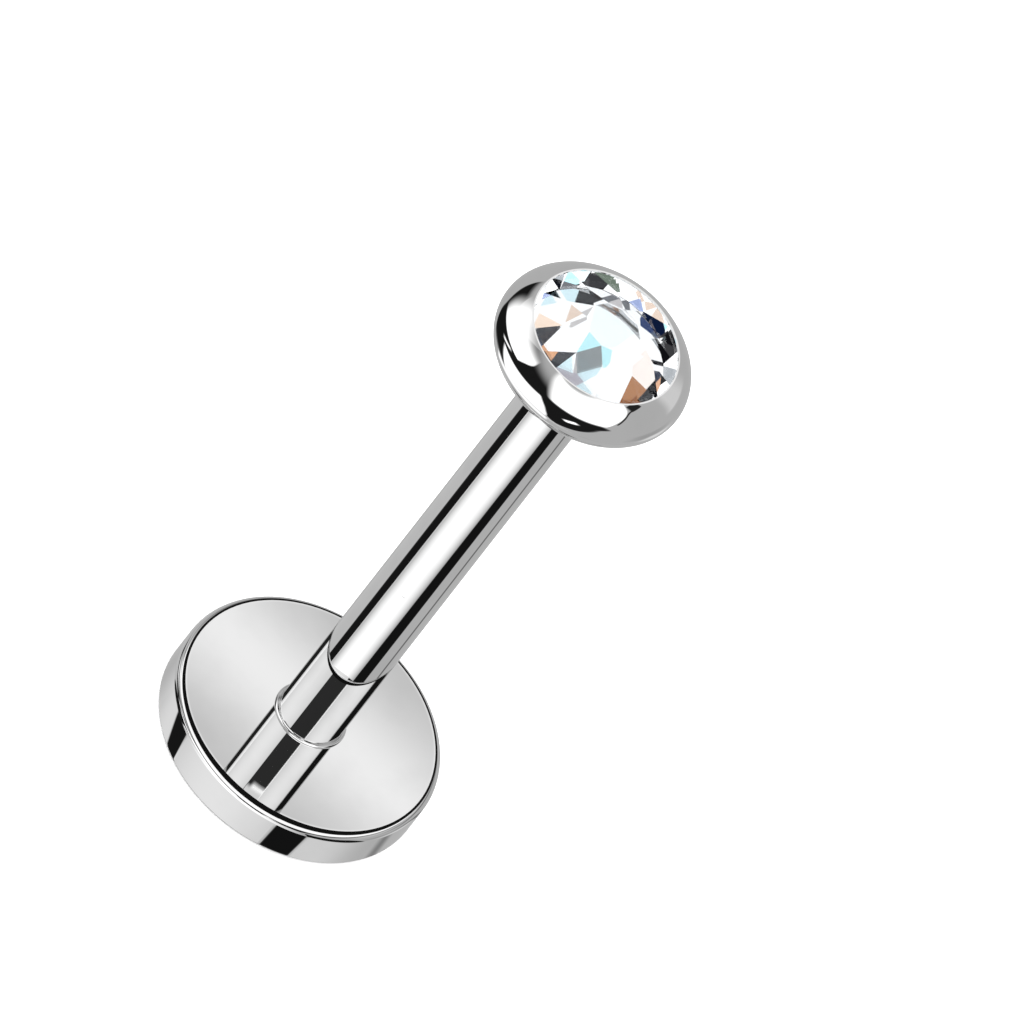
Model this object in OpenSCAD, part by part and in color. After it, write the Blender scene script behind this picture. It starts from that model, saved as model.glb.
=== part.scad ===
// Push-in labret stud in three pieces: a flat disc back with a hollow post,
// a rounded bezel setting with a straight pin, and a faceted crystal.
// Millimetres. +Z runs up the post, and the origin is the middle of the
// disc's flat underside, which the stud stands on.

/* [Disc] */
// Diameter of the flat back disc
disc_d = 4.9; // [3.6:0.1:8]
// Thickness of the disc
disc_t = 0.81; // [0.4:0.01:1.6]
// Rounding of the edge round the face that carries the post
disc_face_round = 0.14; // [0.02:0.01:0.3]
// Rounding of the edge round the underside
disc_under_round = 0.08; // [0.02:0.01:0.3]

/* [Post] */
// Outer diameter of the hollow post, 16 gauge
post_d = 1.2; // [1:0.05:2]
// Length of the post above the disc
post_len = 10.21; // [6.5:0.01:16]
// Radius of the fillet where the post leaves the disc
foot_fillet = 0.07; // [0.02:0.01:0.2]
// Rounding of the post's outer end
mouth_round = 0.1; // [0.02:0.01:0.2]
// Chamfer inside the mouth of the bore
mouth_chamfer = 0.05; // [0.01:0.01:0.1]

/* [Pin] */
// Diameter of the straight pin under the setting
pin_d = 0.56; // [0.4:0.02:0.7]
// Length of the pin below its seat on the post
pin_len = 5.9; // [2:0.1:9]
// Rounding of the pin's tip
pin_tip_round = 0.2; // [0.05:0.01:0.27]
// Running clearance all round the pin
pin_clearance = 0.09; // [0.02:0.01:0.1]
// Depth of the bore below the pin's tip
bore_spare = 0.7; // [0.2:0.1:2]

/* [Setting] */
// Diameter of the rounded setting
head_d = 3.58; // [2.8:0.01:5]
// Height of the setting's full ellipse, from pole to pole
head_h = 1.675; // [1.5:0.005:3]
// Gap between the seat and the end of the post
seat_gap = 0.02; // [0.01:0.01:0.1]
// Width of the metal from the opening to the setting's widest edge
bezel_w = 0.455; // [0.3:0.005:0.7]
// Width of the flat lip round the opening
lip_w = 0.03; // [0.01:0.01:0.1]
// Thickness of the lip at its inner edge
lip_t = 0.03; // [0.01:0.01:0.1]

/* [Crystal] */
// How far the crystal's edge reaches in under the lip
stone_hold = 0.06; // [0.05:0.01:0.12]
// Clearance between the crystal and the metal
stone_gap = 0.015; // [0.01:0.005:0.05]
// Diameter of the table
table_d = 1.0; // [0.5:0.01:1.6]
// Height from the girdle to the table
crown_h = 0.35; // [0.15:0.01:0.6]
// Height of the flat band round the girdle
girdle_t = 0.04; // [0.02:0.01:0.1]
// Width of the bevel between the girdle and the flat base
bevel_w = 0.3; // [0.1:0.01:0.6]
// Depth from the girdle to the base
base_h = 0.82; // [0.15:0.01:0.88]
// Number of main facets round the crown
facets = 10; // [8:1:24]
// Turn of the facets about the post, in degrees
facet_turn = 20.8; // [0:0.1:45]
// Where the star facets end, as a share of the way from table to girdle
star_share = 0.43; // [0.2:0.01:0.6]

/* [Hidden] */
$fn = 96;

arc_steps = 6;
ellipse_steps = 36;
metal = [0.78, 0.79, 0.80];
clear = [0.86, 0.95, 1.0];

// Radii
disc_r = disc_d / 2;
post_r = post_d / 2;
pin_r = pin_d / 2;
bore_r = pin_r + pin_clearance;
head_r = head_d / 2;
lip_r = head_r - bezel_w;
table_r = table_d / 2;
stone_r = lip_r + stone_hold;
cavity_r = stone_r + stone_gap;

// Roundings held inside the walls that they are on
post_wall = post_r - bore_r;
mouth_r = min(mouth_round, 0.5 * post_wall);
chamfer = min(mouth_chamfer, 0.3 * post_wall);
face_r = min(disc_face_round, 0.45 * disc_t);
under_r = min(disc_under_round, 0.45 * disc_t);
tip_r = min(pin_tip_round, 0.95 * pin_r);

// Heights, from the underside upwards
post_top = disc_t + post_len;
seat_z = post_top + seat_gap;
tip_z = seat_z - pin_len;
bore_floor = tip_z - bore_spare;
head_z = seat_z + ellipse_z(post_r);
lip_z = head_z + ellipse_z(lip_r + lip_w);

// The crown's slope leads under the lip with the clearance above it
crown_slope = crown_h / (stone_r - table_r);
crown_drop = stone_gap * sqrt(1 + crown_slope * crown_slope);
girdle_z = lip_z - lip_t - crown_drop - crown_slope * stone_hold;
girdle_low = girdle_z - girdle_t;
table_z = girdle_z + crown_h;
base_z = girdle_low - base_h;

// The seat's cone and floor run beside the bevels and the base
base_r = stone_r - bevel_w;
bevel_slope = base_h / bevel_w;
bevel_drop = stone_gap * sqrt(1 + bevel_slope * bevel_slope);
floor_z = base_z - stone_gap;
floor_r = base_r + (bevel_drop - stone_gap) / bevel_slope;

// Half the height of the setting's ellipse at radius r
function ellipse_z(r) = head_h / 2 * sqrt(1 - pow(r / head_r, 2));

// Points of an arc about [x, z], from angle a to angle b
function arc(x, z, r, a, b) =
    [for (i = [0:arc_steps])
        let (t = a + (b - a) * i / arc_steps)
        [x + r * cos(t), z + r * sin(t)]];

// Points of the setting's ellipse, from angle a to angle b
function head_arc(a, b) =
    [for (i = [0:ellipse_steps])
        let (t = a + (b - a) * i / ellipse_steps)
        [head_r * cos(t), head_z + head_h / 2 * sin(t)]];

// A ring of points at radius r and height z, moved on by a share of one facet
function ring(count, r, z, share) =
    [for (i = [0:count - 1])
        let (t = facet_turn + 360 * (i + share) / count)
        [r * cos(t), r * sin(t), z]];

// Disc and hollow post, turned in one piece
module labret_back() {
    outline = concat(
        [[0, 0]],
        arc(disc_r - under_r, under_r, under_r, -90, 0),
        arc(disc_r - face_r, disc_t - face_r, face_r, 0, 90),
        arc(post_r + foot_fillet, disc_t + foot_fillet, foot_fillet, 270, 180),
        arc(post_r - mouth_r, post_top - mouth_r, mouth_r, 0, 90),
        [[bore_r + chamfer, post_top],
         [bore_r, post_top - chamfer],
         [bore_r, bore_floor],
         [0, bore_floor]]);
    color(metal) rotate_extrude() polygon(outline);
}

// Rounded cup with its pin below and the bevelled seat of the crystal inside
module bezel_setting() {
    foot_angle = -acos(post_r / head_r);
    lip_angle = acos((lip_r + lip_w) / head_r);
    outline = concat(
        [[0, tip_z]],
        arc(pin_r - tip_r, tip_z + tip_r, tip_r, -90, 0),
        [[pin_r, seat_z]],
        head_arc(foot_angle, lip_angle),
        [[lip_r, lip_z],
         [lip_r, lip_z - lip_t],
         [cavity_r, lip_z - lip_t - crown_slope * (cavity_r - lip_r)],
         [cavity_r, girdle_low - bevel_drop + bevel_slope * stone_gap],
         [floor_r, floor_z],
         [0, floor_z]]);
    color(metal) rotate_extrude() polygon(outline);
}

// Cut crystal: table, stars, mains and upper girdle facets above the girdle,
// bevels and a flat base below it.
// The mains are flat because the star ring lies in their planes.
module crystal() {
    n = facets;
    star_r = table_r + (stone_r - table_r) * star_share;
    star_z = table_z - (star_r * cos(180 / n) - table_r) * crown_slope;
    points = concat(
        ring(n, table_r, table_z, 0),
        ring(n, star_r, star_z, 0.5),
        ring(2 * n, stone_r, girdle_z, 0),
        ring(2 * n, stone_r, girdle_low, 0),
        ring(2 * n, base_r, base_z, 0));
    star = n;
    upper = 2 * n;
    lower = 4 * n;
    base = 6 * n;
    faces = concat(
        [[for (i = [n - 1:-1:0]) i]],
        [for (i = [0:n - 1]) [i, (i + 1) % n, star + i]],
        [for (i = [0:n - 1])
            [i, star + i, upper + 2 * i, star + (i + n - 1) % n]],
        [for (i = [0:n - 1])
            [star + i, upper + 2 * i + 1, upper + 2 * i]],
        [for (i = [0:n - 1])
            [star + i, upper + (2 * i + 2) % (2 * n), upper + 2 * i + 1]],
        [for (j = [0:2 * n - 1])
            let (k = (j + 1) % (2 * n))
            [upper + j, upper + k, lower + k, lower + j]],
        [for (j = [0:2 * n - 1])
            let (k = (j + 1) % (2 * n))
            [lower + j, lower + k, base + k, base + j]],
        [[for (j = [0:2 * n - 1]) base + j]]);
    color(clear) polyhedron(points = points, faces = faces);
}

labret_back();
bezel_setting();
crystal();
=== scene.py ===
import math

import bpy
import numpy as np
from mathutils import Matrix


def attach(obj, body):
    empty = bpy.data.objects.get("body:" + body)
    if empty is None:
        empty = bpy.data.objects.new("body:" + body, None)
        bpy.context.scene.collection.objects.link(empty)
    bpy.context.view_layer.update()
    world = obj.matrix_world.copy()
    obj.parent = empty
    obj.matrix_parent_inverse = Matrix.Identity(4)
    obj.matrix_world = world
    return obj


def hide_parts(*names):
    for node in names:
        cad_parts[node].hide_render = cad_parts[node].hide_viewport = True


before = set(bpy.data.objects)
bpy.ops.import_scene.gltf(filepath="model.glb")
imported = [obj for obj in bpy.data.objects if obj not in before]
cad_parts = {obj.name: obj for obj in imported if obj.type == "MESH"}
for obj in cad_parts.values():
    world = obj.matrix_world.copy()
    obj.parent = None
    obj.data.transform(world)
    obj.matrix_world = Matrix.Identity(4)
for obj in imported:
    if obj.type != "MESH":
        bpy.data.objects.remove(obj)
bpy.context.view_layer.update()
print("CAD model loaded:", ", ".join(sorted(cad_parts)))

mm = 0.001  # sizes below are in millimetres, and Blender's are in metres


def hexToLinear(code):
    # Each sRGB channel c becomes c / 12.92 up to 0.04045, and above that
    # ((c + 0.055) / 1.055) to the power of 2.4. Alpha is 1.
    channels = [int(code[i:i + 2], 16) / 255 for i in (0, 2, 4)]
    linear = [c / 12.92 if c <= 0.04045 else ((c + 0.055) / 1.055) ** 2.4 for c in channels]
    return (*linear, 1.0)


def addNode(tree, kind, settings=None, values=None, links=None):
    # settings are the node's properties, values set its inputs, and links join
    # an input to another node's output
    node = tree.nodes.new("ShaderNode" + kind)
    for name, value in (settings or {}).items():
        setattr(node, name, value)
    for name, value in (values or {}).items():
        node.inputs[name].default_value = value
    for name, output in (links or {}).items():
        tree.links.new(output, node.inputs[name])
    return node


def mixColours(tree, first, second, share):
    # The output that mixes two hex colours by another output. A Mix node's colours
    # go in at 6 and 7 and come out at 2.
    mix = addNode(tree, "Mix", {"data_type": "RGBA"},
                  {6: hexToLinear(first), 7: hexToLinear(second)}, {0: share})
    return mix.outputs[2]


def newMaterial(name):
    material = bpy.data.materials.new(name)
    material.use_nodes = True
    material.node_tree.nodes.clear()
    return material, material.node_tree


def putMesh(name, points, faces, material, cornerNormals=None):
    mesh = bpy.data.meshes.new(name)
    mesh.from_pydata(points, [], faces)
    mesh.materials.append(material)
    mesh.polygons.foreach_set("use_smooth", np.full(len(mesh.polygons), cornerNormals is not None))
    mesh.update()
    if cornerNormals is not None:
        mesh.normals_split_custom_set(cornerNormals)
    piece = bpy.data.objects.new(name, mesh)
    bpy.context.scene.collection.objects.link(piece)
    return piece


def arcPath(centre, radii, angles, steps, hollow=False):
    # An arc of a circle or ellipse: centre + radii * (cos t, sin t). Its normal is
    # (cos t, sin t) divided by the radii, made one long, and turned inwards if hollow.
    radii = np.broadcast_to(radii, 2)
    t = np.radians(np.linspace(angles[0], angles[1], steps + 1))
    points = np.array(centre) + np.stack([radii[0] * np.cos(t), radii[1] * np.sin(t)], 1)
    normals = np.stack([np.cos(t) / radii[0], np.sin(t) / radii[1]], 1)
    normals /= np.linalg.norm(normals, axis=1, keepdims=True)
    return points, -normals if hollow else normals


def linePath(*corners):
    # Straight lines through the corners. Their normals come from the direction.
    return np.array(corners, float), None


def joinPaths(paths, touching=1e-6):
    # Runs the paths end to end. Each stretch keeps the normal at its start and
    # the one at its end: an arc's own, or (dz, -dr) for a straight stretch.
    points, starts, ends = [], [], []
    for path, normals in paths:
        if points:
            if np.linalg.norm(points[-1][-1] - path[0]) > touching:
                path = np.vstack([points[-1][-1], path])
                normals = None if normals is None else np.vstack([normals[:1] * np.nan, normals])
            points[-1] = points[-1][:-1]
        step = np.diff(path, axis=0)
        across = np.stack([step[:, 1], -step[:, 0]], 1)
        across /= np.maximum(np.linalg.norm(across, axis=1, keepdims=True), 1e-12)
        first, last = across.copy(), across.copy()
        if normals is not None:
            curved = ~np.isnan(normals[:-1, 0])
            first[curved], last[curved] = normals[:-1][curved], normals[1:][curved]
        points.append(path)
        starts.append(first)
        ends.append(last)
    return np.vstack(points), np.vstack(starts), np.vstack(ends)


def turnedBody(name, paths, steps, material):
    # Turns a profile (r, z) that starts and ends on the axis:
    # point(i, j) = (r_i cos a_j, r_i sin a_j, z_i), with a_j = 360 j / steps.
    # Each corner of a face has the profile's own normal, so flats stay flat.
    outline, first, last = joinPaths(paths)
    angle = 2 * np.pi * np.arange(steps) / steps
    cosine, sine = np.cos(angle), np.sin(angle)
    ring = outline[1:-1]
    points = np.stack([np.outer(ring[:, 0], cosine), np.outer(ring[:, 0], sine),
                       np.repeat(ring[:, 1:], steps, 1)], -1).reshape(-1, 3)
    foot, tip = len(points), len(points) + 1
    points = np.vstack([points, [[0, 0, outline[0, 1]], [0, 0, outline[-1, 1]]]])
    row = np.arange(len(ring) - 1)[:, None] * steps
    here = np.arange(steps)
    after = (here + 1) % steps
    quads = np.stack([row + here, row + after, row + steps + after, row + steps + here], -1)
    top = (len(ring) - 1) * steps
    fans = np.vstack([
        np.stack([np.full(steps, foot), after, here], 1),
        np.stack([top + here, top + after, np.full(steps, tip)], 1)])

    def spun(normal, at):
        # a profile normal (nr, nz) carried to the angles at these columns
        return np.stack(np.broadcast_arrays(normal[..., :1] * cosine[at], normal[..., :1] * sine[at],
                                            normal[..., 1:]), -1)

    wall = slice(1, len(first) - 1)
    quadNormals = np.stack([spun(first[wall], here), spun(first[wall], after),
                            spun(last[wall], after), spun(last[wall], here)], 2)
    fanNormals = np.concatenate([
        np.stack([spun(first[:1], here)[0], spun(last[:1], after)[0], spun(last[:1], here)[0]], 1),
        np.stack([spun(first[-1:], here)[0], spun(first[-1:], after)[0], spun(last[-1:], here)[0]], 1)])
    faces = quads.reshape(-1, 4).tolist() + fans.tolist()
    normals = np.vstack([quadNormals.reshape(-1, 3), fanNormals.reshape(-1, 3)])
    return putMesh(name, points * mm, faces, material, normals)


# a camera without perspective, in front of the stud, looking down on it and turned
# on its side
view = {
    "height": 46.0,  # degrees above the floor
    "roll": 37.97,  # degrees that the post leans to the right
    "width": 17.11,  # millimetres across the picture
    "aim": (0.559, 5.318),  # right and up from the disc's foot to the picture's middle
    "distance": 60.0,  # from the disc to the camera
    "clip": (1.0, 1000.0),
}

tilt = math.radians(view["height"])
right = np.array([1.0, 0.0, 0.0])
upward = np.array([0.0, math.sin(tilt), math.cos(tilt)])
backward = np.array([0.0, -math.cos(tilt), math.sin(tilt)])
roll = math.radians(view["roll"])
eye = right * view["aim"][0] + upward * view["aim"][1] + backward * view["distance"]
# the camera turns against the lean of the post
cameraRight = math.cos(roll) * right + math.sin(roll) * upward
cameraUp = -math.sin(roll) * right + math.cos(roll) * upward

lens = bpy.data.cameras.new("camera")
lens.type = "ORTHO"
lens.ortho_scale = view["width"] * mm
lens.clip_start = view["clip"][0] * mm
lens.clip_end = view["clip"][1] * mm
camera = bpy.data.objects.new("camera", lens)
bpy.context.scene.collection.objects.link(camera)
placed = np.eye(4)
placed[:3] = np.column_stack([cameraRight, cameraUp, backward, eye * mm])
camera.matrix_world = placed.T.tolist()  # Blender takes a plain list column by column
bpy.context.scene.camera = camera
bpy.context.scene.view_settings.view_transform = "Standard"
print("Camera placed")


# The sizes of the three pieces, which the cards below are hung for. Haze is the
# polish's roughness, from the clearest to the cloudiest, and steps are those of an arc.
turnSteps = 384
back = {
    "discRadius": 2.45,
    "discHeight": 0.81,
    "faceRound": 0.14,
    "underRound": 0.08,
    "postRadius": 0.6,
    "postLength": 10.21,
    "footFillet": 0.07,
    "mouthRound": 0.1,
    "mouthChamfer": 0.05,
    "boreClearance": 0.09,
    "boreSpare": 0.7,  # depth of the bore below the pin's tip
    "faceSteps": 16,
    "underSteps": 10,
    "footSteps": 12,
    "mouthSteps": 12,
    "haze": (0.004, 0.012),
}
setting = {
    "headRadius": 1.79,
    "halfHeight": 0.8375,
    "seatGap": 0.02,
    "pinRadius": 0.28,
    "pinLength": 5.9,
    "tipRound": 0.2,
    "bezelWidth": 0.455,  # from the widest edge in to the opening
    "lipWidth": 0.03,
    "lipHeight": 0.03,
    "headSteps": 96,
    "tipSteps": 10,
    "haze": (0.002, 0.01),
}
stone = {
    "ior": 1.557,
    "hold": 0.06,  # how far the crystal's edge reaches in under the lip
    "gap": 0.015,
    "tableRadius": 0.5,
    "crownHeight": 0.35,
    "girdle": 0.04,
    "bevelWidth": 0.3,
    "bevelDepth": 0.82,
}

lipRadius = setting["headRadius"] - setting["bezelWidth"]
edgeRadius = lipRadius + stone["hold"]
cavityRadius = edgeRadius + stone["gap"]
boreRadius = setting["pinRadius"] + back["boreClearance"]
postTop = back["discHeight"] + back["postLength"]
seat = postTop + setting["seatGap"]
pinTip = seat - setting["pinLength"]
boreFloor = pinTip - back["boreSpare"]


def headHalf(radius):
    # Half the height of the setting's ellipse at this radius
    return setting["halfHeight"] * math.sqrt(1 - (radius / setting["headRadius"]) ** 2)


headMiddle = seat + headHalf(back["postRadius"])
lipTop = headMiddle + headHalf(lipRadius + setting["lipWidth"])


# A white room for the eye, one grey for polished metal and one white for the
# crystal. In it hang soft-edged cards that only metal or only the crystal shows.
studio = {
    "roomLight": 2.2,  # light on the floor
    "roomMirrored": 0.515,  # grey that the metal mirrors between the cards
    "roomThrough": 1.5,  # white that the crystal gathers between its cards
    "farDistance": 90.0,  # from the setting to the nearest of the cards that it mirrors
    "postFloor": -0.03,  # height of the cards that the post mirrors, and how far out they lie
    "postReach": (back["discRadius"], 10.9),
    "discFloor": -0.01,  # the same for the disc's side
    "discReach": (0.0, 0.8),
    "footDeck": 9.95,  # height of the cards that the post's foot mirrors in the disc
    "upperDeck": 10.0,  # height of the card that the disc's face mirrors
    "ringDeck": 10.25,  # height of the ring that the face shows to low views
    "rimDeck": back["discHeight"] + 0.03,  # height of the cards that the disc's edge mirrors
}


def hangRoom():
    # The world's light goes by what sent the ray: metal, crystal, or eye and floor
    world = bpy.data.worlds.new("studioRoom")
    world.use_nodes = True
    bpy.context.scene.world = world
    tree = world.node_tree
    tree.nodes.clear()
    ray = addNode(tree, "LightPath")
    direct = addNode(tree, "Math", {"operation": "MAXIMUM"},
                     links={0: ray.outputs["Is Camera Ray"], 1: ray.outputs["Is Diffuse Ray"]})
    mirrored, through, light = [
        addNode(tree, "Background", values={"Color": (1, 1, 1, 1), "Strength": studio[name]})
        for name in ("roomMirrored", "roomThrough", "roomLight")]
    bent = addNode(tree, "MixShader", links={
        0: ray.outputs["Is Transmission Ray"], 1: mirrored.outputs[0], 2: through.outputs[0]})
    mixed = addNode(tree, "MixShader", links={0: direct.outputs[0], 1: bent.outputs[0], 2: light.outputs[0]})
    addNode(tree, "OutputWorld", links={"Surface": mixed.outputs[0]})


def studioCard():
    # Glows at the mesh's own level where its cover is 1, is clear where it is 0,
    # and is clear from behind
    material, tree = newMaterial("studioCard")
    cover = addNode(tree, "Attribute", {"attribute_name": "cover"})
    level = addNode(tree, "Attribute", {"attribute_name": "level"})
    side = addNode(tree, "NewGeometry")
    front = addNode(tree, "Math", {"operation": "SUBTRACT"}, {0: 1.0}, {1: side.outputs["Backfacing"]})
    shown = addNode(tree, "Math", {"operation": "MULTIPLY"},
                    links={0: cover.outputs["Fac"], 1: front.outputs[0]})
    glow = addNode(tree, "Emission", links={"Color": level.outputs["Color"]})
    clear = addNode(tree, "BsdfTransparent")
    mixed = addNode(tree, "MixShader", links={0: shown.outputs[0], 1: clear.outputs[0], 2: glow.outputs[0]})
    addNode(tree, "OutputMaterial", links={"Surface": mixed.outputs[0]})
    material.cycles.emission_sampling = "NONE"
    return material


hangRoom()
cardMaterial = studioCard()


def heading(azimuth, elevation=0.0):
    # Azimuth 0 is the front, and grows to the right; both are in degrees
    a, e = np.broadcast_arrays(np.radians(azimuth), np.radians(elevation))
    return np.stack([np.cos(e) * np.sin(a), -np.cos(e) * np.cos(a), np.sin(e)], -1)


def evenGrid(steps):
    # s from 0 to 1 over the columns, and t from 0 to 1 over the rows
    return np.meshgrid(np.linspace(0, 1, steps), np.linspace(0, 1, steps))


def smoothEdge(share, width):
    # 0 at the card's edge to 1 at width inside it, as 3x^2 - 2x^3; a width of 0 is sharp
    x = np.clip(share / max(width, 1e-6), 0, 1)
    return x * x * (3 - 2 * x)


def softFrame(s, t, soft):
    # soft edges on the left, right, near and far side
    left, right, near, far = soft
    return smoothEdge(s, left) * smoothEdge(1 - s, right) * smoothEdge(t, near) * smoothEdge(1 - t, far)


def hangCard(name, grid, cover, colour, flip, forCrystal=False):
    # grid is ... x rows x columns x 3 in millimetres. The card shows on one side
    # only, and flip turns that side over.
    rows, columns = grid.shape[-3:-1]
    index = np.arange(grid.size // 3).reshape(-1, rows, columns)
    corners = [index[:, :-1, :-1], index[:, :-1, 1:], index[:, 1:, 1:], index[:, 1:, :-1]]
    faces = np.stack(corners[::-1] if flip else corners, -1).reshape(-1, 4)
    card = putMesh(name, grid.reshape(-1, 3) * mm, faces.tolist(), cardMaterial)
    spread = card.data.attributes.new("cover", "FLOAT", "POINT")
    spread.data.foreach_set("value", np.broadcast_to(cover, grid.shape[:-1]).ravel().astype(np.float32))
    tint = card.data.attributes.new("level", "FLOAT_COLOR", "POINT")
    shade = np.ones((*grid.shape[:-1], 4), np.float32)
    shade[..., :3] = colour
    tint.data.foreach_set("color", shade.ravel())
    card.visible_camera = False
    card.visible_diffuse = False
    card.visible_shadow = False
    card.visible_volume_scatter = False
    card.visible_glossy = not forCrystal
    card.visible_transmission = forCrystal


def alongEdge(edge, t):
    # Follows the edge's points evenly, as a smooth curve through them: each stretch
    # is p + m x + (3 d - 2 m - n) x^2 + (m + n - 2 d) x^3, for a step d and slopes m, n
    edge = np.array(edge, float)
    slope = np.gradient(edge, axis=0) if len(edge) > 2 else np.repeat(edge[1:] - edge[:1], 2, 0)
    at = np.clip(t * (len(edge) - 1), 0, len(edge) - 1 - 1e-9)
    i = at.astype(int)
    x = (at - i)[..., None]
    d = edge[i + 1] - edge[i]
    m, n = slope[i], slope[i + 1]
    return edge[i] + m * x + (3 * d - 2 * m - n) * x ** 2 + (m + n - 2 * d) * x ** 3


def farCard(name, leftEdge, rightEdge, level, soft, distance, steps=48):
    # A patch of a big sphere round the setting, between a left and a right edge that
    # each run from low to high through (azimuth, elevation)
    s, t = evenGrid(steps)
    place = (1 - s)[..., None] * alongEdge(leftEdge, t) + s[..., None] * alongEdge(rightEdge, t)
    grid = np.array([0, 0, headMiddle]) + heading(place[..., 0], place[..., 1]) * distance
    hangCard(name, grid, softFrame(s, t, soft), level, flip=True)


def mirrorCard(name, radius, near, far, reach, height, level, soft, faceUp, edgeShade=1.0, steps=48):
    # Lies level, along the rays that a post or disc of this radius mirrors:
    # place = radius * heading(a / 2) + L * heading(a), for azimuth a and reach L.
    # The level falls to edgeShade of itself at the card's sides, as the square.
    s, t = evenGrid(steps)
    a = (1 - t) * (near[0] + (near[1] - near[0]) * s) + t * (far[0] + (far[1] - far[0]) * s)
    length = reach[0] + (reach[1] - reach[0]) * t
    grid = radius * heading(a / 2) + length[..., None] * heading(a)
    grid[..., 2] = height
    shade = level * (1 - (1 - edgeShade) * (2 * s - 1) ** 2)
    hangCard(name, grid, softFrame(s, t, soft), shade[..., None], flip=faceUp)


def rimCard(name, turns, tilts, level, soft, height, fade=1.7, lowestRise=0.05, steps=100):
    # Lies level just over the disc, where the rays end that its rounded edge mirrors. At
    # turn a and tilt b the edge's normal is n = (sin b * heading(a), cos b), and a
    # ray v leaves as v - 2 (v . n) n. Tilts are (from, to) at the front and the back,
    # and the front's count as cos a to the power of fade.
    s, t = evenGrid(steps)
    a = turns[0] + (turns[1] - turns[0]) * s
    share = np.maximum(np.cos(np.radians(a)), 0) ** fade
    low = tilts[0] * share + tilts[2] * (1 - share)
    high = tilts[1] * share + tilts[3] * (1 - share)
    b = np.radians(low + (high - low) * t)
    outward = heading(a)
    normal = np.sin(b)[..., None] * outward + np.cos(b)[..., None] * np.array([0, 0, 1.0])
    rim = (back["discRadius"] - back["faceRound"]) * outward + back["faceRound"] * normal
    rim[..., 2] += back["discHeight"] - back["faceRound"]
    leaving = -backward + 2 * (normal @ backward)[..., None] * normal
    reach = (height - rim[..., 2]) / np.maximum(leaving[..., 2], lowestRise)
    grid = rim + reach[..., None] * leaving
    hangCard(name, grid, softFrame(s, t, soft), level, flip=False)


def glowCard(name, middle, radius, height, base, extra, squeeze, lean, soft, steps=60):
    # A round card that lies level and faces down: place = middle + radius * (x, y). It is
    # brightest along a line from left to right, at base + extra * e^-(squeeze y + lean x)^2
    r, a = np.meshgrid(np.linspace(0, 1, steps), np.linspace(0, 2 * np.pi, 2 * steps))
    x, y = r * np.cos(a), r * np.sin(a)
    grid = np.stack([middle[0] + radius * x, middle[1] + radius * y, np.full_like(x, height)], -1)
    shade = base + extra * np.exp(-(squeeze * y + lean * x) ** 2)
    hangCard(name, grid, smoothEdge(1 - r, soft), shade[..., None], flip=True)


def ringCard(name, radii, height, level, swing, waves, twist, soft, steps=180):
    # Lies level and faces down, outside the cards over the disc, so that low views
    # find it in the disc's face: level + swing * sin(waves * a + twist * r)
    a, r = np.meshgrid(np.linspace(0, 2 * np.pi, steps), np.linspace(0, 1, steps // 3))
    reach = radii[0] + (radii[1] - radii[0]) * r
    grid = np.stack([reach * np.cos(a), reach * np.sin(a), np.full_like(a, height)], -1)
    shade = level + swing * np.sin(waves * a + twist * r)
    cover = smoothEdge(r, soft[0]) * smoothEdge(1 - r, soft[1])
    hangCard(name, grid, cover, shade[..., None], flip=False)


# What the setting mirrors: the left and the right edge from low to high, level, and
# soft edges (left, right, low, high). The first cards hang nearest, before the others.
farCards = {
    "glint": ([(12, -6), (19, 2), (27, 9)], [(18, -12), (26, -5), (34, 3)],
              1.9, (0.4, 0.4, 0.25, 0.25)),
    "streak": ([(-88, -6), (-67, 13)], [(-84, -10), (-63, 9)],
               1.5, (0.4, 0.4, 0.3, 0.3)),
    "frontBox": ([(-70, -56), (-74, -30), (-79, -7)], [(0, -56), (2, -36), (-1, -20), (-5, -4), (-14, 17)],
                 1.5, (0.08, 0.04, 0.25, 0.04)),
    "leftBox": ([(-117, -7), (-124, 10), (-129, 27), (-138, 57)],
                [(-56, 18), (-52, 30), (-48, 46), (-56, 61)],
                1.6, (0.26, 0.03, 0.06, 0.28)),
    "rightBox": ([(-10, 25), (-18, 41), (-27, 56), (-38, 68), (-50, 78)],
                 [(56, 19), (72, 32), (90, 44), (97, 53), (105, 68)],
                 1.6, (0.16, 0.02, 0.08, 0.1)),
    "lipLight": ([(168, 38), (168, 54)], [(192, 38), (192, 54)],
                 1.05, (0.2, 0.2, 0.2, 0.2)),
    "thinLine": ([(68, 28), (80, 38), (92, 45), (104, 45)], [(70, 26), (82, 36), (94, 43), (110, 43)],
                 0.02, (0.3, 0.3, 0.05, 0.1)),
    "sidePatch": ([(94, 43), (94, 52)], [(110, 42), (110, 51)],
                  0.02, (0.2, 0.1, 0.1, 0.1)),
    "rightGlow": ([(116, 4), (122, 40)], [(152, -2), (150, 42)],
                  0.74, (0.3, 0.45, 0.12, 0.3)),
    "underGlow": ([(96, -44), (104, -24)], [(142, -46), (138, -24)],
                  0.8, (0.35, 0.35, 0.3, 0.4)),
    "sideShade": ([(80, -38), (80, -8)], [(128, -38), (128, -8)],
                  0.4, (0.4, 0.4, 0.4, 0.4)),
    "middleFlag": ([(10, -48), (-20, -20), (-80, 0), (-90, 40), (-74, 68)],
                   [(14, -48), (34, -27), (52, 4), (57, 19), (-36, 70)],
                   0.012, (0.02, 0.03, 0.04, 0.17)),
    "leftFlag": ([(-117, -54), (-118, -25), (-121, -6), (-143, 18)],
                 [(-70, -54), (-70, -25), (-76, 6), (-128, 28)],
                 0.01, (0.06, 0.03, 0.2, 0.06)),
}
for order, (name, card) in enumerate(farCards.items()):
    farCard(name, *card, distance=studio["farDistance"] + order)

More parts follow.
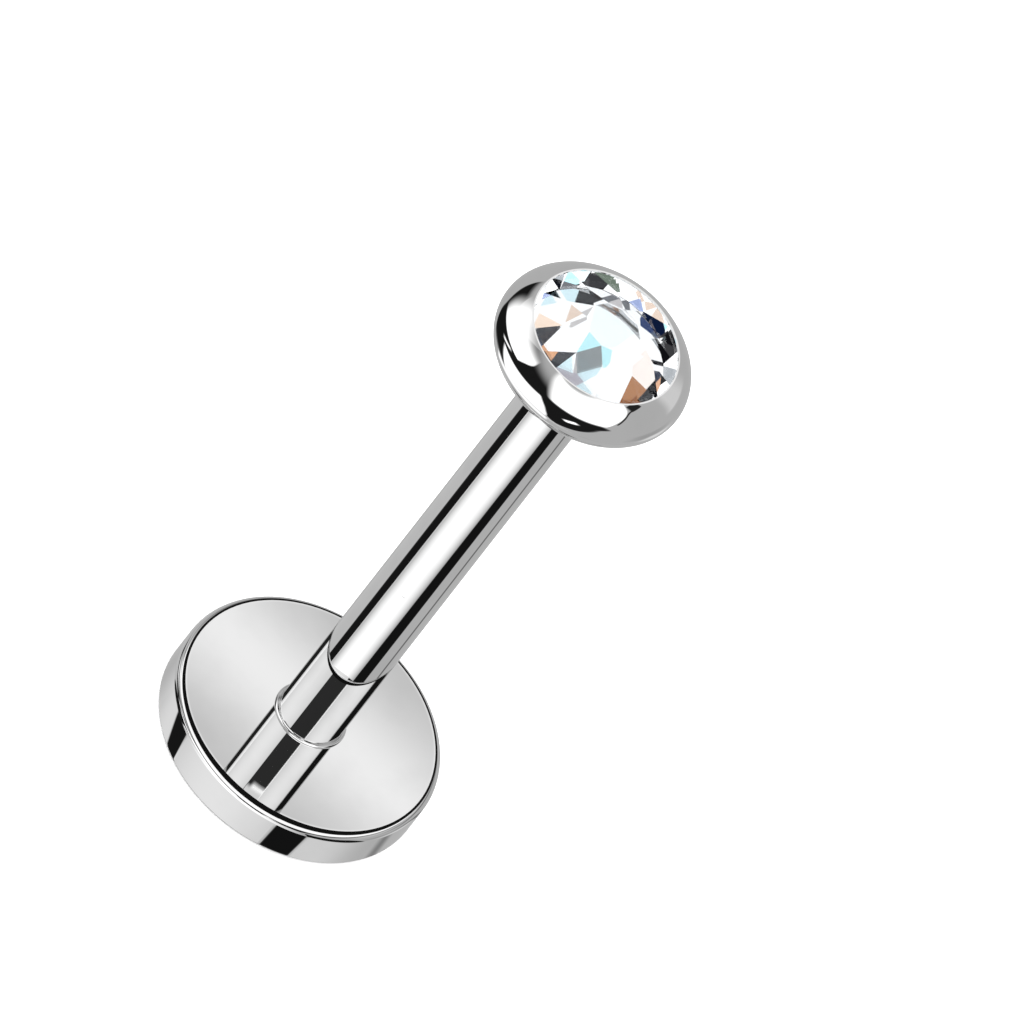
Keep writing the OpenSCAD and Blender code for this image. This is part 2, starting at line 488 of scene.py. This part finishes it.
# What the post and the disc's side mirror, lying just under the floor, which mirrored
# rays don't meet: azimuths near the part and far from it, level, soft edges, and the
# level's share that is left at both sides
postCards = {
    "postFront": ((-56, 39), (-50, 45), 1.5, (0.03, 0.03, 0.02, 0.02), 0.3),
    "postLeftFlag": ((-82, -56), (-81.5, -50), 0.01, (0.05, 0.02, 0.02, 0.02), 1.0),
    "postRightFlag": ((39, 74), (45, 74), 0.008, (0.02, 0.05, 0.02, 0.02), 1.0),
    "postLeftGrey": ((-150, -82), (-150, -81.5), 0.6, (0.1, 0.02, 0.02, 0.02), 1.0),
    "postLine": ((106, 118), (100, 111), 0.1, (0.5, 0.5, 0.02, 0.02), 1.0),
}
discCards = {
    "discFront": ((-66.5, 30), (-72.6, 32), 0.97, (0.01, 0.01, 0.02, 0.02), 0.8),
    "discLeftFlag": ((-80, -66.5), (-97, -72.6), 0.01, (0.05, 0.05, 0.02, 0.02), 1.0),
    "discRightFlag": ((30, 55), (32, 59.5), 0.008, (0.03, 0.03, 0.02, 0.02), 1.0),
    "discLeftGlow": ((-150, -80), (-150, -97), 0.86, (0.9, 0.02, 0.02, 0.02), 1.0),
    "discRightGlow": ((55, 120), (59.5, 120), 0.76, (0.03, 0.7, 0.02, 0.02), 1.0),
    "discShade": ((122, 142), (122, 142), 0.25, (0.5, 0.5, 0.02, 0.02), 1.0),
}
for cards, radius, reach, height in (
        (postCards, back["postRadius"], studio["postReach"], studio["postFloor"]),
        (discCards, back["discRadius"], studio["discReach"], studio["discFloor"])):
    for name, (near, far, level, soft, edgeShade) in cards.items():
        mirrorCard(name, radius, near, far, reach, height, level, soft, faceUp=True, edgeShade=edgeShade)

# Under the head, whose underside mirrors these and not the floor's cards: azimuths,
# reach, height, level, soft edges
headCards = {
    "headShield": ((-180, 180), (2.1, 3.7), 9.45, 0.52, (0, 0, 0.05, 0.1)),
    "headShieldWhite": ((-74, 4), (2.5, 3.75), 9.5, 1.3, (0.06, 0.04, 0.4, 0.05)),
}
for name, (azimuths, reach, height, level, soft) in headCards.items():
    mirrorCard(name, 0.0, azimuths, azimuths, reach, height, level, soft, faceUp=True)

# What the post's foot mirrors upwards by way of the disc's face: azimuths, reach,
# level, soft edges, and the level's share that is left at both sides
footCards = {
    "footFlag": ((-26, 32), (7.3, 10.9), 0.036, (0.05, 0.05, 0.04, 0.02), 1.0),
    "footEnd": ((-26, 32), (6.8, 7.35), 1.0, (0.0, 0.0, 0.0, 0.3), 1.0),
    "footLeft": ((-110, -26), (6.8, 10.9), 1.25, (0.02, 0.02, 0.02, 0.02), 0.8),
    "footRight": ((32, 112), (6.8, 10.9), 1.25, (0.02, 0.02, 0.02, 0.02), 0.8),
    "footLine": ((112, 156), (6.8, 10.9), 0.01, (0.1, 0.1, 0.02, 0.02), 1.0),
    "footLeftLine": ((-156, -122), (6.8, 10.9), 0.02, (0.1, 0.1, 0.02, 0.02), 1.0),
}
for name, (azimuths, reach, level, soft, edgeShade) in footCards.items():
    mirrorCard(name, back["postRadius"], azimuths, azimuths, reach, studio["footDeck"],
               level, soft, faceUp=False, edgeShade=edgeShade)

# What the rounded edge round the disc's face mirrors: turns, tilts (from, to) at the
# front and the back, level, soft edges
rimCards = {
    "rimFrame": ((-180, 180), (0.0, 40.0, 0.0, 17.0), 0.008, (0, 0, 0, 0.05)),
    "rimLight": ((-90, 90), (40.0, 61.0, 17.0, 21.0), 1.3, (0.1, 0.1, 0.02, 0.05)),
    "rimLine": ((-90, 90), (61.0, 66.0, 22.0, 23.0), 0.02, (0.1, 0.1, 0.05, 0.05)),
}
for name, card in rimCards.items():
    rimCard(name, *card, height=studio["rimDeck"])

# What the disc's face mirrors: a ring for low views, and a round glow for the camera's
# own view, whose mirrored rays reach the upper deck faceShift behind the disc
faceShift = (studio["upperDeck"] - back["discHeight"]) / math.tan(tilt)
faceRadius = back["discRadius"] - back["faceRound"]
ringCard("sideRing", (17, 46), studio["ringDeck"], level=0.42, swing=0.22, waves=5, twist=3, soft=(0.2, 0.1))
glowCard("faceGlow", (0, faceShift), faceRadius, studio["upperDeck"],
         base=0.65, extra=0.42, squeeze=1.6, lean=0.25, soft=0.01)
print("Studio cards hung for the metal")


def whiteCardboard():
    # Matt white board with a faint fibre
    material, tree = newMaterial("whiteCardboardFloor")
    place = addNode(tree, "TexCoord")
    fibre = addNode(tree, "TexNoise", values={"Scale": 60.0, "Detail": 2.0},
                    links={"Vector": place.outputs["Object"]})
    shade = mixColours(tree, "F2F2F2", "F7F7F7", fibre.outputs["Fac"])
    board = addNode(tree, "BsdfPrincipled", values={"Roughness": 0.95, "Specular IOR Level": 0.1},
                    links={"Base Color": shade})
    addNode(tree, "OutputMaterial", links={"Surface": board.outputs[0]})
    return material


floorHalf = 400.0
floorCorners = [(-floorHalf, -floorHalf, 0), (floorHalf, -floorHalf, 0),
                (floorHalf, floorHalf, 0), (-floorHalf, floorHalf, 0)]
floor = putMesh("floor", np.array(floorCorners) * mm, [(0, 1, 2, 3)], whiteCardboard())
floor.visible_glossy = False
floor.visible_transmission = False


def polishedSteel(name, haze):
    # Surgical steel 316L, turned and then mirror-polished on a buff: a bright
    # neutral grey mirror. The buff leaves faint rings round the post, and handling
    # leaves a breath of haze in soft patches.
    material, tree = newMaterial(name)
    place = addNode(tree, "TexCoord")
    patches = addNode(tree, "TexNoise", values={"Scale": 900.0, "Detail": 3.0, "Roughness": 0.55},
                      links={"Vector": place.outputs["Object"]})
    # rings about 0.04 mm apart, which is coarser than real ones, so that they show
    squeezed = addNode(tree, "Mapping", values={"Scale": (0.06, 0.06, 1.0)},
                       links={"Vector": place.outputs["Object"]})
    rings = addNode(tree, "TexNoise", values={"Scale": 25000.0, "Detail": 2.0, "Roughness": 0.6},
                    links={"Vector": squeezed.outputs["Vector"]})
    ringShare = 0.3
    both = addNode(tree, "Math", {"operation": "MULTIPLY_ADD"}, {1: ringShare},
                   {0: rings.outputs["Fac"], 2: patches.outputs["Fac"]})
    polish = addNode(tree, "MapRange",
                     values={"From Min": 0.5, "From Max": 0.95, "To Min": haze[0], "To Max": haze[1]},
                     links={"Value": both.outputs[0]})
    # a little less bright where the haze sits
    film = addNode(tree, "MapRange", values={"From Min": 0.45, "From Max": 0.75},
                   links={"Value": patches.outputs["Fac"]})
    colour = mixColours(tree, "E6E6E6", "E0E0E0", film.outputs["Result"])
    steel = addNode(tree, "BsdfPrincipled", values={"Metallic": 1.0},
                    links={"Base Color": colour, "Roughness": polish.outputs["Result"]})
    addNode(tree, "OutputMaterial", links={"Surface": steel.outputs[0]})
    return material


# the disc and the hollow post, from the middle of the underside round to the bore's floor
labretBack = turnedBody("labretBack", [
    linePath((0, 0), (back["discRadius"] - back["underRound"], 0)),
    arcPath((back["discRadius"] - back["underRound"], back["underRound"]),
            back["underRound"], (-90, 0), back["underSteps"]),
    arcPath((back["discRadius"] - back["faceRound"], back["discHeight"] - back["faceRound"]),
            back["faceRound"], (0, 90), back["faceSteps"]),
    arcPath((back["postRadius"] + back["footFillet"], back["discHeight"] + back["footFillet"]),
            back["footFillet"], (270, 180), back["footSteps"], hollow=True),
    arcPath((back["postRadius"] - back["mouthRound"], postTop - back["mouthRound"]),
            back["mouthRound"], (0, 90), back["mouthSteps"]),
    linePath((boreRadius + back["mouthChamfer"], postTop), (boreRadius, postTop - back["mouthChamfer"]),
             (boreRadius, boreFloor), (0, boreFloor)),
], turnSteps, polishedSteel("mirrorPolishedSteelBack", back["haze"]))
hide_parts("labret_back")
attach(labretBack, "back")
print("Disc and post turned")


# The rounded setting and its pin, from the pin's tip round to the seat, whose cone
# and floor run beside the crystal's bevels and base at the gap's distance
lipUnder = lipTop - setting["lipHeight"]
crownSlope = stone["crownHeight"] / (edgeRadius - stone["tableRadius"])
girdleTop = lipUnder - stone["gap"] * math.hypot(1, crownSlope) - crownSlope * stone["hold"]
girdleLow = girdleTop - stone["girdle"]
bevelSlope = stone["bevelDepth"] / stone["bevelWidth"]
bevelDrop = stone["gap"] * math.hypot(1, bevelSlope)
coneTop = girdleLow - bevelDrop + bevelSlope * stone["gap"]
seatFloor = girdleLow - stone["bevelDepth"] - stone["gap"]
floorRadius = edgeRadius - stone["bevelWidth"] + (bevelDrop - stone["gap"]) / bevelSlope
footAngle = -math.degrees(math.acos(back["postRadius"] / setting["headRadius"]))
lipAngle = math.degrees(math.acos((lipRadius + setting["lipWidth"]) / setting["headRadius"]))
bezelSetting = turnedBody("bezelSetting", [
    linePath((0, pinTip), (setting["pinRadius"] - setting["tipRound"], pinTip)),
    arcPath((setting["pinRadius"] - setting["tipRound"], pinTip + setting["tipRound"]),
            setting["tipRound"], (-90, 0), setting["tipSteps"]),
    linePath((setting["pinRadius"], seat)),
    arcPath((0, headMiddle), (setting["headRadius"], setting["halfHeight"]),
            (footAngle, lipAngle), setting["headSteps"]),
    linePath((lipRadius, lipTop), (lipRadius, lipUnder),
             (cavityRadius, lipUnder - crownSlope * (cavityRadius - lipRadius)),
             (cavityRadius, coneTop), (floorRadius, seatFloor), (0, seatFloor)),
], turnSteps, polishedSteel("mirrorPolishedSteelSetting", setting["haze"]))
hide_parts("bezel_setting")
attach(bezelSetting, "top")
print("Bezel setting turned")


def cutCrystalGlass():
    # Lead crystal, cut and polished: clear and sharp, with a cold tint in the glass
    material, tree = newMaterial("cutCrystalGlass")
    place = addNode(tree, "TexCoord")
    cloud = addNode(tree, "TexNoise", values={"Scale": 1400.0, "Detail": 1.0},
                    links={"Vector": place.outputs["Object"]})
    tint = mixColours(tree, "FFFFFF", "F8FCFF", cloud.outputs["Fac"])
    glass = addNode(tree, "BsdfPrincipled",
                    values={"Roughness": 0.0, "IOR": stone["ior"], "Transmission Weight": 1.0},
                    links={"Base Color": tint})
    addNode(tree, "OutputMaterial", links={"Surface": glass.outputs[0]})
    return material


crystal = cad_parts["crystal"]
crystal.data.materials.clear()
crystal.data.materials.append(cutCrystalGlass())
print("Crystal finished")


def crystalPlanes(mesh):
    # One row for each triangle of the crystal: outward normal, then distance
    normals = np.empty(3 * len(mesh.polygons))
    middles = np.empty(3 * len(mesh.polygons))
    mesh.polygons.foreach_get("normal", normals)
    mesh.polygons.foreach_get("center", middles)
    normals, middles = normals.reshape(-1, 3), middles.reshape(-1, 3) / mm
    return np.column_stack([normals, (normals * middles).sum(1)])


def inCrown(normals):
    # The crown's facets face up; the girdle, the bevels and the base don't
    return normals[:, 2] > 0.05


def inTable(normals):
    # The table alone faces straight up
    return normals[:, 2] > 0.999


def crossings(point, ray, planes, facing, never):
    # How far along each ray lies each plane that it meets from inside (facing 1) or
    # from outside (facing -1), and never for the other planes
    slant = ray @ planes[:, :3].T
    meets = facing * slant > 1e-6
    return np.where(meets, (planes[:, 3] - point @ planes[:, :3].T) / np.where(meets, slant, 1), never)


def throughCrystal(spots, planes, ior, turnsInside=8, standOff=10, never=1e9):
    # Sends rays the way the camera looks into the crystal at spots (millimetres right
    # and up from the middle of the lip). Refraction through a normal n is
    # k d + (k c - sqrt(1 - k^2 (1 - c^2))) n, with c = -n . d, and a mirrored ray is
    # d - 2 (n . d) n. The sides below the crown always mirror, because the polished
    # seat lies behind them. Gives where and which way each leaves.
    n = planes[:, :3]
    point = np.array([0, 0, lipTop]) + spots[:, :1] * right + spots[:, 1:] * upward + standOff * backward
    ray = np.repeat(-backward[None], len(spots), 0)
    reach = crossings(point, ray, planes, -1, -never)
    hit = reach.argmax(1)
    point = point + reach.max(1)[:, None] * ray
    c = -(ray * n[hit]).sum(1, keepdims=True)
    ray = ray / ior + (c / ior - np.sqrt(1 - (1 - c * c) / ior ** 2)) * n[hit]
    gone = np.zeros(len(spots), bool)
    for turn in range(turnsInside):
        reach = crossings(point, ray, planes, 1, never)
        hit = reach.argmin(1)
        point = np.where(gone[:, None], point, point + reach.min(1)[:, None] * ray)
        c = (ray * n[hit]).sum(1, keepdims=True)
        beyond = 1 - ior ** 2 * (1 - c * c)
        leaves = (beyond[:, 0] > 0) & inCrown(n[hit]) & ~gone
        out = ior * ray + (np.sqrt(np.maximum(beyond, 0)) - ior * c) * n[hit]
        mirroredRay = ray - 2 * c * n[hit]
        ray = np.where(gone[:, None], ray, np.where(leaves[:, None], out, mirroredRay))
        gone |= leaves
    return point, ray


def smallCards(name, point, ray, colour, forCrystal,
               size=1.3, distance=300.0, steps=9, aroundSteps=25, soft=0.4):
    # Hangs a small round card where each ray ends, size degrees from its middle to
    # its edge: r and a run over a disc that faces the ray,
    # place = end + r * (cos a * across + sin a * over)
    end = point + ray * distance
    noRay = [0.3, 0.2, 0.9]  # along none of the rays
    across = np.cross(ray, noRay)
    across /= np.linalg.norm(across, axis=1, keepdims=True)
    over = np.cross(ray, across)
    r, a = np.meshgrid(np.linspace(0, 1, steps), np.linspace(0, 2 * np.pi, aroundSteps))
    wide = r * math.radians(size) * distance
    sideways = (wide * np.cos(a))[..., None] * across[:, None, None]
    upwards = (wide * np.sin(a))[..., None] * over[:, None, None]
    grid = end[:, None, None] + sideways + upwards
    hangCard(name, grid, smoothEdge(1 - r, soft), colour, flip=True, forCrystal=forCrystal)


def gatheredColour(code):
    # A tint as the glow of a card, where white is the room that the crystal gathers
    return np.array(hexToLinear(code)[:3]) * studio["roomThrough"]


def fromLip(rays):
    # The middle of the lip, once for each ray
    return np.repeat(np.array([[0, 0, lipTop]], float), len(rays), 0)


def spotCards(name, spots, planes, code):
    # Hangs a card of one colour where the ray of each spot leaves the crystal
    point, ray = throughCrystal(np.array(spots, float), planes, stone["ior"])
    smallCards(name, point, ray, gatheredColour(code), forCrystal=True)


def sideCards(name, directions, code):
    # Hangs wider cards of one colour, behind those of the spots, at azimuths and elevations
    ray = heading(*np.array(directions, float).T)
    smallCards(name, fromLip(ray), ray, gatheredColour(code), forCrystal=True,
               size=5.5, distance=340.0, steps=12)


def crownFlag(name, planes, level=0.01):
    # Hangs a dark card where each sloping facet of the crown mirrors the camera,
    # so that its depth isn't veiled: a mirrored ray is d - 2 (n . d) n. The cards
    # are far and small, so that the round metal shows nothing of them. The two
    # triangles of a main facet count once, as their normals agree to four decimals.
    sloping = planes[inCrown(planes) & ~inTable(planes), :3]
    n = np.unique(np.round(sloping, 4), axis=0)
    ray = -backward - 2 * (n @ -backward)[:, None] * n
    ray /= np.linalg.norm(ray, axis=1, keepdims=True)
    smallCards(name, fromLip(ray), ray, np.full(3, level), forCrystal=False, size=0.2, distance=900.0)


# The colours that the crystal gathers, and the spots that show them:
# millimetres right and up from the middle of the lip, as the camera sees it
crystalTints = {
    "black": ("0E0E12", [(0.97, 0.39), (0.94, 0.21), (1.21, 0.03), (1.16, -0.44), (1.23, -0.27),
                         (-1.11, 0.06), (-1.17, 0.16), (-1.15, 0.27), (1.13, -0.20), (0.84, 0.63)]),
    "charcoal": ("38383A", [(-0.72, 0.31), (-0.56, 0.42), (-0.56, 0.30), (-0.57, -0.81), (-0.71, 0.66),
                            (-0.85, 0.56), (0.97, 0.50), (0.75, 0.64), (1.12, -0.34), (-1.20, 0.23)]),
    "slate": ("47484C", [(-0.82, -0.55), (-0.38, -0.70), (-0.39, -0.85), (-0.28, -0.57)]),
    "stormBlue": ("5A6478", [(0.60, 0.55), (-0.81, -0.70)]),
    "moss": ("6A766A", [(-0.59, 0.78), (-0.45, 0.78)]),
    "steel": ("727478", [(-1.05, 0.31), (-0.36, 0.55), (-0.29, 0.62), (-0.06, 0.65)]),
    "silver": ("A8ACB0", [(1.21, 0.19), (1.29, 0.09), (-1.21, 0.32)]),
    "zinc": ("8C9294", [(0.0, -0.44)]),
    "pearl": ("C6C2C2", [(-0.47, 0.10), (-0.50, -0.05), (-0.21, 0.58), (-0.12, -0.66)]),
    "mauve": ("B8B4BC", [(0.05, -0.81), (-0.16, -0.87)]),
    "navy": ("0A1734", [(0.38, 0.70), (0.55, 0.70), (0.69, 0.61), (0.31, 0.72), (1.07, 0.04)]),
    "indigo": ("2C3E6C", [(0.39, 0.59)]),
    "lavender": ("9FADD6", [(0.05, 0.76), (0.20, 0.72), (-1.24, -0.15)]),
    "copper": ("B07E5C", [(0.98, -0.32), (0.86, -0.45), (1.25, -0.23)]),
    "brown": ("8C5836", [(1.01, -0.50), (1.05, -0.52), (0.99, -0.58), (0.89, -0.63), (1.10, -0.49)]),
    "sand": ("E4CFC0", [(0.24, 0.87), (0.46, 0.82), (-0.68, 0.01), (0.02, 0.87), (0.12, 0.86)]),
    "peach": ("DFA882", [(-0.69, -0.74), (-0.52, -0.76), (1.18, -0.06)]),
    "cream": ("F8E0CC", [(-0.97, -0.41)]),
    "warmWhite": ("FCF1EA", [(0.80, 0.12), (0.63, 0.15), (0.92, -0.12)]),
    "cyan": ("C0EDF3", [(-0.16, -0.26), (0.20, -0.26), (0.67, 0.77), (-1.02, 0.40)]),
    "iceBlue": ("D6ECF2", [(-0.22, -0.73), (0.17, -0.63), (0.25, -0.83), (-1.14, -0.08), (-0.89, 0.20)]),
    "paleBlue": ("ECF7F9", [(-0.30, 0.30), (-0.12, 0.35), (0.0, 0.2), (0.2, 0.3), (-0.3, 0.05),
                            (-0.95, 0.56)]),
}
# the same colours where only other views look: azimuth and elevation in degrees
sideTints = {
    "black": [(-80, 51), (-38, 32), (55, 66), (92, 36)],
    "charcoal": [(-92, 36), (-20, 66), (-36, 54), (40, 36), (56, 51), (-60, 80)],
    "slate": [(-60, 66), (60, 80)],
    "navy": [(30, 51), (95, 66)],
    "copper": [(14, 36)],
    "lavender": [(-50, 51)],
    "sand": [(20, 66), (84, 51)],
    "cyan": [(66, 36), (-95, 66)],
    "iceBlue": [(-64, 36), (4, 51), (0, 80)],
}
planes = crystalPlanes(crystal.data)
for name, (code, spots) in crystalTints.items():
    spotCards(name, spots, planes, code)
crownFlag("crownFlag", planes)
for name, directions in sideTints.items():
    sideCards(name + "Side", directions, crystalTints[name][0])
print("Studio cards hung for the crystal")
